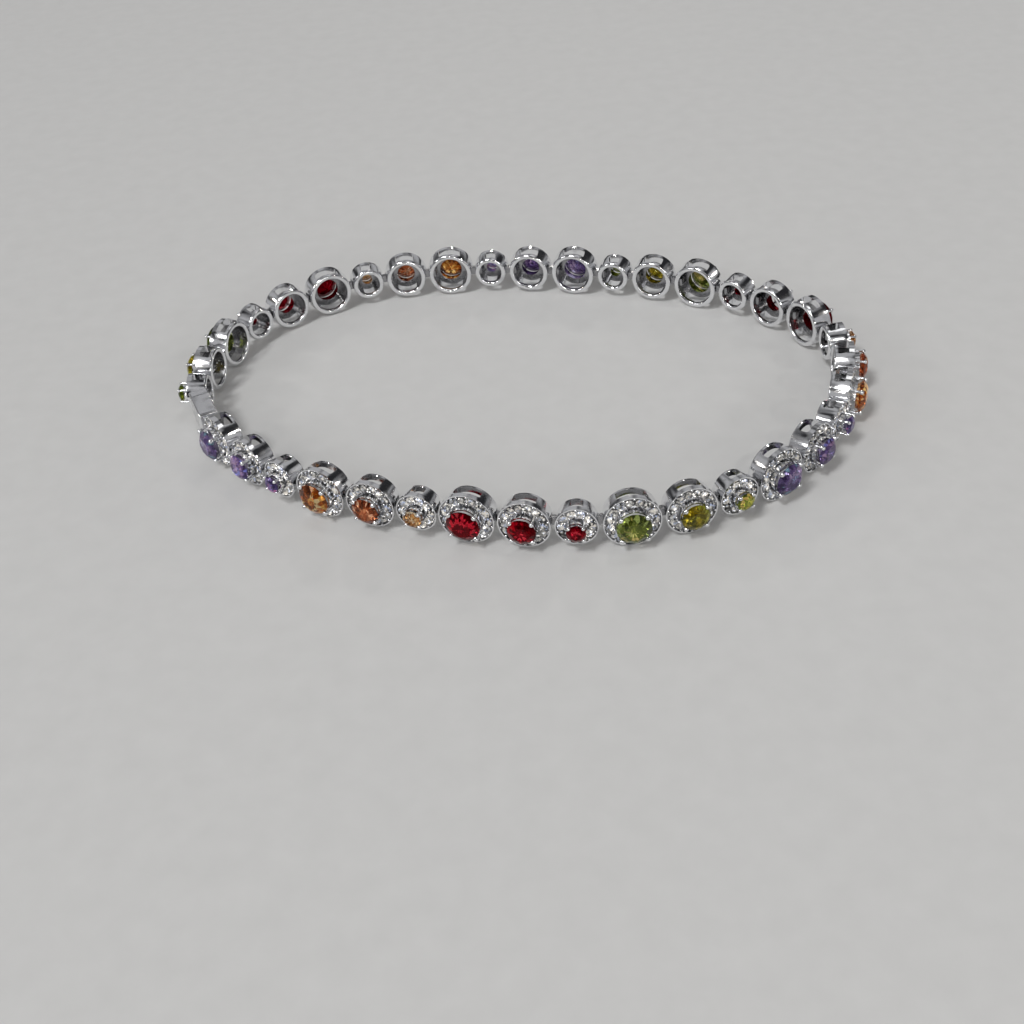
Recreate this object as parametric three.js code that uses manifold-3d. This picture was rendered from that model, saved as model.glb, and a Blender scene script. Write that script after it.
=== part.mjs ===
// Tennis bracelet of round halo links in three repeating sizes, closed with a box clasp.
// Millimetres, +Z up. The closed chain stands on the edges of its largest links, stones facing out.
import * as THREE from 'three';
import { mergeVertices } from 'three/addons/utils/BufferGeometryUtils.js';
import Module from 'manifold-3d';

const wasm = await Module();
wasm.setup();

// Driving dimensions

// The three link sizes: width across the halo, width of the main stone and thickness of a prong.
const linkSizes = {
  large: { halo: 5.2, stone: 3.1, prong: 0.38 },
  medium: { halo: 4.8, stone: 2.6, prong: 0.34 },
  small: { halo: 3.85, stone: 1.75, prong: 0.28 },
};
const sizeOrder = ['large', 'medium', 'small'];
const colourOrder = ['purple', 'orange', 'red', 'green'];
const colourRounds = 3;

const haloThickness = 0.5;
const windowDepth = 1.05;
const backRingThickness = 0.4;
const backRingSetIn = 0.2;
const backRingWidth = 0.5;
const seatLedge = 0.3;
const haloGap = 0.18;

const hingeSetIn = 0.55;
const pinThickness = 0.36;
const pinEndDepth = 0.26;
const hingeClearance = 0.09;
const eyeWall = 0.16;
const tongueHeight = 0.8;
const tongueThickness = 0.5;
const slotBackWall = 0.15;

const tableShare = 0.58;
const crownShare = 0.16;
const pavilionShare = 0.43;
const stoneLift = 1;
const prongAboveGirdle = 0.3;
const prongRoot = 0.2;
const prongBite = 0.05;

const claspLength = 5;
const claspHeight = 3.2;
const claspEdge = 0.35;

// The line that the hinge pins follow, seen from above: the start of each group of three links,
// from the purple group at the left end round the front, the right end and the back.
const route = [
  [0, 0],
  [9.9, -10.8],
  [23.4, -17.2],
  [37.5, -20.6],
  [51, -17.6],
  [61.2, -7.6],
  [64, 6.4],
  [55.3, 18],
  [41.8, 24.6],
  [27.4, 28],
  [12.8, 27],
  [1.4, 19],
  [-2, 6],
];

const metal = { color: 0xd6d7da, metalness: 1, roughness: 0.12 };

// Sizes that follow from the driving ones. In a link's own frame X runs along the chain,
// Y is up and Z faces out of the bracelet, with the hinge pins at Z = 0.

const faceZ = windowDepth / 2 + haloThickness;
const backZ = -windowDepth / 2 - backRingThickness;
const eyeHole = pinThickness / 2 + hingeClearance;
const eyeRadius = eyeHole + eyeWall;
const slotHeight = tongueHeight + 2 * hingeClearance;
const pinLength = slotHeight + 2 * pinEndDepth;
const slotBehindPin = eyeRadius + 2 * hingeClearance;
const overshoot = 0.5;

// How many flat sides stand in for each round.
const haloSides = 12;
const hollowSides = 8;
const stoneSides = 8;
const eyeSides = 8;
const pinSides = 4;

// Closed solids from geometry

function solidFrom(geometry) {
  geometry.deleteAttribute('normal');
  geometry.deleteAttribute('uv');
  const merged = mergeVertices(geometry, 1e-5);
  const corners = merged.index.array;
  const kept = [];
  for (let i = 0; i < corners.length; i += 3) {
    const [a, b, c] = [corners[i], corners[i + 1], corners[i + 2]];
    if (a !== b && b !== c && c !== a) kept.push(a, b, c);
  }
  const mesh = new wasm.Mesh({
    numProp: 3,
    vertProperties: new Float32Array(merged.attributes.position.array),
    triVerts: new Uint32Array(kept),
  });
  return new wasm.Manifold(mesh);
}

function geometryFrom(solid) {
  const mesh = solid.getMesh();
  const geometry = new THREE.BufferGeometry();
  geometry.setAttribute('position', new THREE.BufferAttribute(mesh.vertProperties, 3));
  geometry.setIndex(new THREE.BufferAttribute(mesh.triVerts, 1));
  return geometry;
}

// A box given by its lowest and highest corner.
function boxBetween(low, high) {
  const [x0, y0, z0] = low;
  const [x1, y1, z1] = high;
  const geometry = new THREE.BoxGeometry(x1 - x0, y1 - y0, z1 - z0);
  geometry.translate((x0 + x1) / 2, (y0 + y1) / 2, (z0 + z1) / 2);
  return solidFrom(geometry);
}

// The corner radius of a regular outline whose flat sides touch the true circle.
function aroundCircle(radius, sides) {
  return radius / Math.cos(Math.PI / sides);
}

// A turned shape about the link's Z axis.
function turned(profile, sides, startAngle) {
  const points = profile.map(([radius, height]) => new THREE.Vector2(radius, height));
  const geometry = new THREE.LatheGeometry(points, sides, startAngle);
  geometry.rotateX(Math.PI / 2);
  return solidFrom(geometry);
}

// The corners of a regular outline round a circle, with a flat side facing each way.
function cornersRound(radius, sides) {
  return Array.from({ length: sides }, (_, index) => {
    const angle = ((index + 0.5) * 2 * Math.PI) / sides;
    const reach = aroundCircle(radius, sides);
    return new THREE.Vector2(reach * Math.cos(angle), reach * Math.sin(angle));
  });
}

// Hinge halves

// The tongue on the left reaches into the neighbour and ends in an eye round its pin. Its
// outline lies in the link's XZ plane: the eye's corners, less the two facing the root.
function addTongue(solid, rootX, hingeX) {
  const eye = cornersRound(eyeRadius, eyeSides).slice(1, -1);
  const reach = rootX - hingeX;
  const outline = new THREE.Shape([
    new THREE.Vector2(reach, tongueThickness / 2),
    ...eye,
    new THREE.Vector2(reach, -tongueThickness / 2),
  ]);
  outline.holes.push(new THREE.Path(cornersRound(eyeHole, pinSides)));
  const shape = new THREE.ExtrudeGeometry(outline, { depth: tongueHeight, bevelEnabled: false });
  shape.rotateX(-Math.PI / 2);
  shape.translate(hingeX, -tongueHeight / 2, 0);
  return solid.add(solidFrom(shape));
}

// The slot on the right takes the neighbour's eye, with the pin across it.
function cutSlotAndPin(solid, hingeX, edgeX) {
  const half = slotHeight / 2;
  const slot = boxBetween(
    [hingeX - slotBehindPin, -half, -windowDepth / 2],
    [edgeX + overshoot, half, windowDepth / 2],
  );
  const pinRadius = pinThickness / 2;
  const pin = new THREE.CylinderGeometry(pinRadius, pinRadius, pinLength, pinSides);
  pin.translate(hingeX, 0, 0);
  return solid.subtract(slot).add(solidFrom(pin));
}

// Main stone: a flat table, eight crown facets and a pointed pavilion, with corners on
// the diagonals, where the prongs stand
function brilliant(width, girdleZ) {
  const tableTop = girdleZ + crownShare * width;
  return turned([
    [0, girdleZ - pavilionShare * width],
    [width / 2, girdleZ],
    [(width / 2) * tableShare, tableTop],
    [0, tableTop],
  ], stoneSides, 0);
}

// Four prongs on the diagonals, from the halo up past the edge of the stone
function addProngs(solid, size, girdleZ) {
  const bottom = faceZ - prongRoot;
  const top = girdleZ + prongAboveGirdle;
  const outFrom = size.stone / 2 - prongBite;
  let result = solid;
  for (let corner = 0; corner < 4; corner += 1) {
    const prong = new THREE.BoxGeometry(size.prong, size.prong, top - bottom);
    prong.translate(outFrom + size.prong / 2, 0, (top + bottom) / 2);
    prong.rotateZ(Math.PI / 4 + corner * Math.PI / 2);
    result = result.add(solidFrom(prong));
  }
  return result;
}

// One link: the halo plate in front and a hollow wall behind it that ends in the open back
// ring, with a window above and below between the hinge ends, and the stone on its prongs
function makeLink(size) {
  const radius = size.halo / 2;
  const plate = aroundCircle(radius, haloSides);
  const backRing = aroundCircle(radius - backRingSetIn, haloSides);
  const outside = turned([
    [0, backZ],
    [backRing, backZ],
    [plate, windowDepth / 2],
    [plate, faceZ],
    [0, faceZ],
  ], haloSides, Math.PI / haloSides);
  const hollowRadius = radius - backRingSetIn - backRingWidth;
  const hollow = aroundCircle(hollowRadius, hollowSides);
  const seat = aroundCircle(size.stone / 2 - seatLedge, hollowSides);
  const inside = turned([
    [0, backZ - overshoot],
    [hollow, backZ - overshoot],
    [hollow, windowDepth / 2],
    [seat, windowDepth / 2],
    [seat, faceZ + overshoot],
    [0, faceZ + overshoot],
  ], hollowSides, Math.PI / hollowSides);
  const body = outside.subtract(inside);
  const windowHalf = radius - hingeSetIn - slotBehindPin - slotBackWall;
  const windows = boxBetween(
    [-windowHalf, -plate, -windowDepth / 2],
    [windowHalf, plate, windowDepth / 2],
  );
  const girdleZ = faceZ + stoneLift;
  let link = cutSlotAndPin(body.subtract(windows), radius - hingeSetIn, radius);
  link = addTongue(link, -hollowRadius - backRingWidth / 2, -radius - haloGap - hingeSetIn);
  link = addProngs(link, size, girdleZ);
  link = link.add(brilliant(size.stone, girdleZ));
  return {
    solid: link,
    leftReach: radius + haloGap + hingeSetIn,
    rightReach: radius - hingeSetIn,
  };
}

// The closed box clasp, with the same hinge halves as a link
function makeClasp() {
  const half = claspLength / 2;
  const top = claspHeight / 2;
  const outline = new THREE.Shape([
    new THREE.Vector2(-half, -top + claspEdge),
    new THREE.Vector2(-half + claspEdge, -top),
    new THREE.Vector2(half - claspEdge, -top),
    new THREE.Vector2(half, -top + claspEdge),
    new THREE.Vector2(half, top - claspEdge),
    new THREE.Vector2(half - claspEdge, top),
    new THREE.Vector2(-half + claspEdge, top),
    new THREE.Vector2(-half, top - claspEdge),
  ]);
  const shell = new THREE.ExtrudeGeometry(outline, { depth: faceZ - backZ, bevelEnabled: false });
  shell.translate(0, 0, backZ);
  let clasp = cutSlotAndPin(solidFrom(shell), half - hingeSetIn, half);
  clasp = addTongue(clasp, -half + overshoot, -half - haloGap - hingeSetIn);
  return {
    solid: clasp,
    leftReach: half + haloGap + hingeSetIn,
    rightReach: half - hingeSetIn,
  };
}

// The chain in order, from the purple group at the left end, with the clasp last
function listPieces() {
  const made = {};
  for (const name of sizeOrder) made[name] = makeLink(linkSizes[name]);
  const pieces = [];
  for (let round = 0; round < colourRounds; round += 1) {
    for (const colour of colourOrder) {
      for (const sizeName of sizeOrder) {
        const number = String(pieces.length + 1).padStart(2, '0');
        pieces.push({ name: `link_${number}_${colour}_${sizeName}`, ...made[sizeName] });
      }
    }
  }
  pieces.push({ name: 'box_clasp', ...makeClasp() });
  return pieces;
}

// Hinge places: each pin is one pitch from the last, straight across, on the route. The route
// is scaled until the chain comes back exactly to its first pin.

const routeLine = new THREE.CatmullRomCurve3(
  route.map(([x, y]) => new THREE.Vector3(x, y, 0)),
  true,
  'centripetal',
);

function nextAlong(from, distance) {
  const start = routeLine.getPoint(from % 1);
  let low = from;
  let high = from + 0.25;
  for (let step = 0; step < 40; step += 1) {
    const middle = (low + high) / 2;
    if (routeLine.getPoint(middle % 1).distanceTo(start) < distance) low = middle;
    else high = middle;
  }
  return (low + high) / 2;
}

function placesAlong(pitches, scale) {
  const places = [0];
  for (const pitch of pitches) places.push(nextAlong(places.at(-1), pitch / scale));
  return places;
}

function hingePoints(pieces) {
  const pitches = pieces.map((piece) => piece.leftReach + piece.rightReach);
  let low = 0.5;
  let high = 2;
  for (let step = 0; step < 40; step += 1) {
    const middle = (low + high) / 2;
    if (placesAlong(pitches, middle).at(-1) > 1) low = middle;
    else high = middle;
  }
  const scale = (low + high) / 2;
  const places = placesAlong(pitches, scale).slice(0, -1);
  return places.map((place) => routeLine.getPoint(place % 1).multiplyScalar(scale));
}

// Every piece on its two hinge points, standing at the height of the largest link's middle
function assemble() {
  const bracelet = new THREE.Group();
  const pieces = listPieces();
  const hinges = hingePoints(pieces);
  const chain = new THREE.Group();
  pieces.forEach((piece, index) => {
    const from = hinges[index];
    const to = hinges[(index + 1) % hinges.length];
    const along = to.clone().sub(from).normalize();
    const mesh = new THREE.Mesh(geometryFrom(piece.solid), new THREE.MeshStandardMaterial(metal));
    mesh.name = piece.name;
    mesh.rotation.x = Math.PI / 2;
    const seat = new THREE.Group();
    seat.position.copy(from).addScaledVector(along, piece.leftReach);
    seat.rotation.z = Math.atan2(along.y, along.x);
    seat.add(mesh);
    chain.add(seat);
  });
  bracelet.add(chain);
  bracelet.updateMatrixWorld(true);
  const extent = new THREE.Box3().setFromObject(chain, true);
  const middle = extent.getCenter(new THREE.Vector3());
  chain.position.set(-middle.x, -middle.y, -extent.min.z);
  bracelet.updateMatrixWorld(true);
  return bracelet;
}

export default assemble();
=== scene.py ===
import math
import random

import bmesh
import bpy
from mathutils import Matrix, Vector


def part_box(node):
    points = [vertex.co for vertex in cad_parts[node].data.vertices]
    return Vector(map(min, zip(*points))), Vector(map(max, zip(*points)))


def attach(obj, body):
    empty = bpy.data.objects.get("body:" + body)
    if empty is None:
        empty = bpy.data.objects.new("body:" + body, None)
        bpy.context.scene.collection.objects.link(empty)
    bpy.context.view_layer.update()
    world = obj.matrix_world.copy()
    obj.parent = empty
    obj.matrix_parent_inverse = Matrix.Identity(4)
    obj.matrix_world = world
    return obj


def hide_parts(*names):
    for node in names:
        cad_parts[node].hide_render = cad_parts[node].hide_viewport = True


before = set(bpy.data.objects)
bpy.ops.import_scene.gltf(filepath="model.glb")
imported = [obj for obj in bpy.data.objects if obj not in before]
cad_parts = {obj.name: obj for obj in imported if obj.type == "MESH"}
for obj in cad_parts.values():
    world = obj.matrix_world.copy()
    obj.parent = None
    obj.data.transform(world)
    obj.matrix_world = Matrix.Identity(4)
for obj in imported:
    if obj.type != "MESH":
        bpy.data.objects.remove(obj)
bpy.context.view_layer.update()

# A tennis bracelet of round halo links. Each link is modelled once per size at the origin, in
# millimetres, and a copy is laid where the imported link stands. In a link's own space X runs
# along the chain, Y is up and Z faces out of the bracelet, with the hinge pins at Z = 0.

MILLIMETRE = 0.001

# Driving sizes of the setting and the hinge, the same as in the solids

HALO_THICKNESS = 0.5
WINDOW_DEPTH = 1.05
BACK_RING_THICKNESS = 0.4
BACK_RING_SET_IN = 0.2
BACK_RING_WIDTH = 0.5
SEAT_LEDGE = 0.3
HALO_GAP = 0.18
STONE_LIFT = 1.0
PRONG_BITE = 0.05

HINGE_SET_IN = 0.55
PIN_THICKNESS = 0.36
PIN_END_DEPTH = 0.26
HINGE_CLEARANCE = 0.09
EYE_WALL = 0.16
TONGUE_HEIGHT = 0.8
TONGUE_THICKNESS = 0.5
SLOT_BACK_WALL = 0.15

CLASP_LENGTH = 5.0
CLASP_HEIGHT = 3.2
CLASP_CORNER = 0.35

# Sizes that follow from them

WINDOW_HALF = WINDOW_DEPTH / 2
FACE = WINDOW_HALF + HALO_THICKNESS
BACK = -WINDOW_HALF - BACK_RING_THICKNESS
GIRDLE = FACE + STONE_LIFT
PIN_RADIUS = PIN_THICKNESS / 2
EYE_HOLE = PIN_RADIUS + HINGE_CLEARANCE
EYE_RADIUS = EYE_HOLE + EYE_WALL
SLOT_HALF = TONGUE_HEIGHT / 2 + HINGE_CLEARANCE
SLOT_BEHIND_PIN = EYE_RADIUS + 2 * HINGE_CLEARANCE
PIN_LENGTH = 2 * (SLOT_HALF + PIN_END_DEPTH)

# Fine forms of the setting, which the solids leave out

EDGE_ROUND = 0.03
WINDOW_ROUND = 0.14
BACK_ROUND = 0.2
RIM_WIDTH = 0.11
CHANNEL_DEPTH = 0.34
CHANNEL_TAPER = 0.02
CHANNEL_FLOOR = FACE - CHANNEL_DEPTH
COLLAR_RISE = 0.6
COLLAR_WALL = 0.11
COLLAR_FOOT = 0.12
COLLAR_SET_IN = 0.01
SEAT_FLARE = 0.03
SEAT_LAND = 0.05

# The prong's wire is thinner than the square rod of the solids. From its start it goes through
# steps of height, shift outwards and change of thickness, and a ball closes it.
WIRE_SHARE = 0.92
WIRE_ROOT = 0.05
WIRE_START = FACE - 0.05
WIRE_STEPS = [
    (FACE + 0.25, 0.0, 0.86),
    (GIRDLE - 0.3, 0.01, 0.92),
    (GIRDLE - 0.05, 0.0, 1.0),
    (GIRDLE + 0.08, -0.05, 0.98),
    (GIRDLE + 0.16, -0.04, 0.8),
]
BALL_SHARE = 1.3
BALL_SHAPE = (1.05, 1.0, 0.86)
BALL_SHIFT = 0.02
BALL_LEVEL = GIRDLE + 0.09

GRAIN_RADIUS = 0.125
GRAIN_SHAPE = (1.0, 1.0, 0.9)
GRAIN_LEVEL = FACE - 0.03
GRAIN_FROM_RIM = 0.09
GRAIN_INNER_SHARE = 0.72

# Side stones: half their girdle, their crown and depth, and how they sit in the channel

SIDE_GIRDLE = 0.02
SIDE_CROWN = 0.13
SIDE_DEPTH = 0.3
SIDE_TABLE_SHARE = 0.56
SIDE_POINT_SHARE = 0.02
SIDE_LEVEL = FACE - 0.05
SIDE_TILT = 0.1
SIDE_RIM_CLEARANCE = 0.03
SIDE_TUCK = 0.02
SIDE_GAP = 0.012

# Main stones, as shares of their radius

TABLE_SHARE = 0.58
CROWN_SHARE = 0.32
PAVILION_SHARE = 0.86
GIRDLE_SHARE = 0.025
HALF_FACET_REACH = 0.985
HALF_FACET_LIFT = 1.2
UPPER_HALF_STEEPER = math.radians(5)
STAR_FLATTER = math.radians(14)
LOWER_HALF_STEEPER = math.radians(2.5)

# The uncut stone reaches a little below its point. Corners this near are one, and facets this
# nearly level with each other are one.
STOCK_BELOW = 0.1
CUT_NEAR = 1e-5
CORNER_NEAR = 1e-4
SAME_FACET = math.radians(0.5)

# Chance in the stones: the start of the draws, the highest seed, and how far a map shifts. A side
# stone's map is this many of its radii wide.
DRAW_START = 7
HIGHEST_SEED = 40
MAIN_MAP_SHIFT = 0.05
SIDE_MAP_SHIFT = 0.14
SIDE_MAP_RADII = 3

# The clasp's rounded borders and the line where its two halves meet

CLASP_EDGE = 0.2
CLASP_TONGUE_ROOT = 0.5
SEAM_PLACE = -1.3
SEAM_WIDTH = 0.12
SEAM_DEPTH = 0.1

# How finely rounds are divided

ROUND_SIDES = 64
PIN_SIDES = 20
WIRE_SIDES = 14
BALL_RINGS = 9
GRAIN_SIDES = 8
GRAIN_RINGS = 5
SIDE_STONE_SIDES = 8
ROUND_STEPS = 4
CORNER_STEPS = 5
SOFT_STEPS = 2

PRONGS = 4
MAIN_FACETS = 8

# How far a cutter stands out of what it cuts, and a slot's cutter out of the link's end.
OVERSHOOT = 1.0
SLOT_OVERSHOOT = 0.5

# How near two places count as one, how squarely a face looks along an axis, and the slack in
# telling a face by its middle.
NEAR = 0.001
SQUARELY = 0.9
SLACK = 0.01

SHARP_EDGE = math.radians(35)
CREASE = math.radians(40)
PRONG_CREASE = math.radians(50)


class LinkSize:
    """One size of link: its driving widths, kept as radii, and the places that follow."""

    def __init__(self, halo_width, stone_width, prong_width, side_stones):
        self.halo = halo_width / 2
        self.stone = stone_width / 2
        self.prong = prong_width / 2
        self.side_stones = side_stones

        self.bore = self.stone - SEAT_LEDGE
        self.hollow = self.halo - BACK_RING_SET_IN - BACK_RING_WIDTH
        self.rim_inside = self.halo - RIM_WIDTH
        self.collar_foot = self.stone - COLLAR_FOOT
        self.collar_outside = self.stone - COLLAR_SET_IN

        self.pin_x = self.halo - HINGE_SET_IN
        self.eye_x = -self.halo - HALO_GAP - HINGE_SET_IN
        self.tongue_root = -self.hollow - BACK_RING_WIDTH / 2
        self.window = self.pin_x - SLOT_BEHIND_PIN - SLOT_BACK_WALL

        room_outside = self.rim_inside - SIDE_RIM_CLEARANCE
        self.ring = (room_outside + self.stone) / 2
        half_room = (room_outside - self.stone) / 2
        half_step = self.ring * math.sin(math.pi / side_stones)
        self.side_stone = min(half_room + SIDE_TUCK, half_step - SIDE_GAP)


LINK_SIZES = {
    "large": LinkSize(halo_width=5.2, stone_width=3.1, prong_width=0.38, side_stones=15),
    "medium": LinkSize(halo_width=4.8, stone_width=2.6, prong_width=0.34, side_stones=14),
    "small": LinkSize(halo_width=3.85, stone_width=1.75, prong_width=0.28, side_stones=10),
}


# Modelling tools


def activate(piece):
    """Select this piece alone."""
    bpy.ops.object.select_all(action="DESELECT")
    piece.select_set(True)
    bpy.context.view_layer.objects.active = piece


def settle(piece):
    """Move the piece's place and size into its mesh."""
    activate(piece)
    bpy.ops.object.transform_apply(location=True, rotation=True, scale=True)
    return piece


def add_cylinder(radius, low, high, sides=ROUND_SIDES, centre_x=0.0, first_angle=0.0):
    """A closed cylinder along Z, from low to high."""
    bpy.ops.object.select_all(action="DESELECT")
    bpy.ops.mesh.primitive_cylinder_add(
        vertices=sides,
        radius=radius,
        depth=high - low,
        end_fill_type="NGON",
        location=(centre_x, 0, (low + high) / 2),
        rotation=(0, 0, first_angle),
    )
    return settle(bpy.context.object)


def add_cross_pin(radius, length, x):
    """A closed cylinder along Y, centred on the chain's line."""
    bpy.ops.object.select_all(action="DESELECT")
    bpy.ops.mesh.primitive_cylinder_add(
        vertices=PIN_SIDES,
        radius=radius,
        depth=length,
        end_fill_type="NGON",
        location=(x, 0, 0),
        rotation=(math.pi / 2, 0, 0),
    )
    return settle(bpy.context.object)


def add_block(low, high):
    """A box given by its lowest and highest corner."""
    bpy.ops.object.select_all(action="DESELECT")
    middle = [(a + b) / 2 for a, b in zip(low, high)]
    bpy.ops.mesh.primitive_cube_add(size=1, location=middle)
    bpy.context.object.scale = [b - a for a, b in zip(low, high)]
    return settle(bpy.context.object)


def add_ball(radius, segments, rings, place, shape):
    """A ball, stretched by its shape."""
    bpy.ops.object.select_all(action="DESELECT")
    bpy.ops.mesh.primitive_uv_sphere_add(
        segments=segments, ring_count=rings, radius=radius, location=place
    )
    bpy.context.object.scale = shape
    return settle(bpy.context.object)


def pick_faces(piece, wanted):
    """Select the faces, in edit mode, whose middle and normal the test accepts."""
    bpy.ops.mesh.select_mode(type="FACE")
    bpy.ops.mesh.select_all(action="DESELECT")
    editing = bmesh.from_edit_mesh(piece.data)
    for face in editing.faces:
        face.select_set(bool(wanted(face.calc_center_median(), face.normal)))
    editing.select_flush_mode()
    bmesh.update_edit_mesh(piece.data)


def pick_edges(piece, wanted):
    """Select the edges, in edit mode, whose two ends the test accepts."""
    bpy.ops.mesh.select_mode(type="EDGE")
    bpy.ops.mesh.select_all(action="DESELECT")
    editing = bmesh.from_edit_mesh(piece.data)
    for edge in editing.edges:
        edge.select_set(bool(wanted(edge.verts[0].co, edge.verts[1].co)))
    editing.select_flush_mode()
    bmesh.update_edit_mesh(piece.data)


def draw_end(radius, height, steps):
    """Extrude the picked end face, of this radius and height, through steps of both."""
    for next_radius, next_height in steps:
        rise = next_height - height
        bpy.ops.mesh.extrude_region_move(TRANSFORM_OT_translate={"value": (0, 0, rise)})
        ratio = next_radius / radius
        bpy.ops.transform.resize(value=(ratio, ratio, 1), center_override=(0, 0, next_height))
        radius, height = next_radius, next_height


def apply_modifier(piece, modifier):
    activate(piece)
    bpy.ops.object.modifier_apply(modifier=modifier.name)


def combine(piece, tool, operation):
    """Cut the tool out of the piece, or weld it on."""
    modifier = piece.modifiers.new("combine", "BOOLEAN")
    modifier.operation = operation
    modifier.object = tool
    modifier.solver = "EXACT"
    apply_modifier(piece, modifier)
    bpy.data.objects.remove(tool)


def smooth_shading(piece, crease):
    """Smooth shading, with edges sharper than the crease kept sharp."""
    activate(piece)
    bpy.ops.object.shade_smooth_by_angle(angle=crease)


def soften_edges(piece):
    """A small round on every sharp edge, with flat faces kept flat."""
    modifier = piece.modifiers.new("round edges", "BEVEL")
    modifier.width = EDGE_ROUND
    modifier.segments = SOFT_STEPS
    modifier.limit_method = "ANGLE"
    modifier.angle_limit = SHARP_EDGE
    apply_modifier(piece, modifier)
    smooth_shading(piece, CREASE)
    modifier = piece.modifiers.new("even normals", "WEIGHTED_NORMAL")
    modifier.keep_sharp = True
    apply_modifier(piece, modifier)


def copied(piece, matrix):
    """A copy with a mesh of its own, moved by the matrix."""
    copy = piece.copy()
    copy.data = piece.data.copy()
    copy.data.transform(matrix)
    bpy.context.scene.collection.objects.link(copy)
    return copy


def joined(pieces):
    """One object of several."""
    activate(pieces[0])
    for piece in pieces:
        piece.select_set(True)
    bpy.ops.object.join()
    return bpy.context.object


def turned_about_z(angle):
    return Matrix.Rotation(angle, 4, "Z")


def dressed(piece, *finishes):
    """Give the piece these materials and no others."""
    piece.data.materials.clear()
    for finish in finishes:
        piece.data.materials.append(finish)
    return piece


# Shader nodes

# Where the Mix node keeps its two colours and its mixed colour.
MIX_FIRST = 6
MIX_SECOND = 7
MIX_RESULT = 2


def add_node(tree, kind, **settings):
    node = tree.nodes.new(kind)
    for name, value in settings.items():
        setattr(node, name, value)
    return node


def new_group(name, inputs, outputs):
    """A shader node group with named sockets: (name, kind, value) in, (name, kind) out."""
    group = bpy.data.node_groups.new(name, "ShaderNodeTree")
    for label, kind, value in inputs:
        socket = group.interface.new_socket(name=label, in_out="INPUT", socket_type=kind)
        if value is not None:
            socket.default_value = value
    for label, kind in outputs:
        group.interface.new_socket(name=label, in_out="OUTPUT", socket_type=kind)
    return group, add_node(group, "NodeGroupInput"), add_node(group, "NodeGroupOutput")


def feed(tree, socket, value):
    """Link a socket to another socket, or set it to a plain value."""
    if isinstance(value, bpy.types.NodeSocket):
        tree.links.new(value, socket)
    else:
        socket.default_value = value


def math_node(tree, operation, *values):
    node = add_node(tree, "ShaderNodeMath", operation=operation)
    for slot, value in enumerate(values):
        feed(tree, node.inputs[slot], value)
    return node.outputs[0]


def range_node(tree, value, low, high, to_high=1.0):
    """A smooth step that rises from nought as the value goes from low to high."""
    node = add_node(tree, "ShaderNodeMapRange", interpolation_type="SMOOTHSTEP")
    feed(tree, node.inputs["Value"], value)
    feed(tree, node.inputs["From Min"], low)
    feed(tree, node.inputs["From Max"], high)
    feed(tree, node.inputs["To Min"], 0.0)
    feed(tree, node.inputs["To Max"], to_high)
    return node.outputs["Result"]


def noise_node(tree, place, scale, detail):
    node = add_node(tree, "ShaderNodeTexNoise")
    feed(tree, node.inputs["Vector"], place)
    feed(tree, node.inputs["Scale"], scale)
    feed(tree, node.inputs["Detail"], detail)
    return node.outputs["Fac"]


def mix_colours(tree, share, first, second):
    node = add_node(tree, "ShaderNodeMix", data_type="RGBA")
    feed(tree, node.inputs["Factor"], share)
    feed(tree, node.inputs[MIX_FIRST], first)
    feed(tree, node.inputs[MIX_SECOND], second)
    return node.outputs[MIX_RESULT]


def polish_group():
    """Worn polish: cloudy wear, fine wiping scratches and a little darkening in patches."""
    group, given, result = new_group(
        "worn polish",
        [
            ("Position", "NodeSocketVector", None),
            ("Bright", "NodeSocketColor", (0.8, 0.8, 0.8, 1)),
            ("Shaded", "NodeSocketColor", (0.5, 0.5, 0.5, 1)),
            ("Smooth", "NodeSocketFloat", 0.05),
            ("Rubbed", "NodeSocketFloat", 0.2),
        ],
        [
            ("Colour", "NodeSocketColor"),
            ("Roughness", "NodeSocketFloat"),
            ("Height", "NodeSocketFloat"),
        ],
    )
    place = given.outputs["Position"]
    cloud = noise_node(group, place, scale=900, detail=4)
    stretched = add_node(group, "ShaderNodeMapping")
    feed(group, stretched.inputs["Vector"], place)
    feed(group, stretched.inputs["Rotation"], (0.4, 0.9, 0.6))
    feed(group, stretched.inputs["Scale"], (1500, 16000, 16000))
    scratches = noise_node(group, stretched.outputs[0], scale=1, detail=2)
    wear = range_node(group, cloud, low=0.4, high=0.68)
    lines = range_node(group, scratches, low=0.55, high=0.75)
    span = math_node(group, "SUBTRACT", given.outputs["Rubbed"], given.outputs["Smooth"])
    rough = math_node(group, "MULTIPLY", span, math_node(group, "MAXIMUM", wear, lines))
    rough = math_node(group, "ADD", given.outputs["Smooth"], rough)
    patch = range_node(group, cloud, low=0.5, high=0.8)
    colour = mix_colours(group, patch, given.outputs["Bright"], given.outputs["Shaded"])
    feed(group, result.inputs["Roughness"], rough)
    feed(group, result.inputs["Colour"], colour)
    feed(group, result.inputs["Height"], scratches)
    return group


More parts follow.
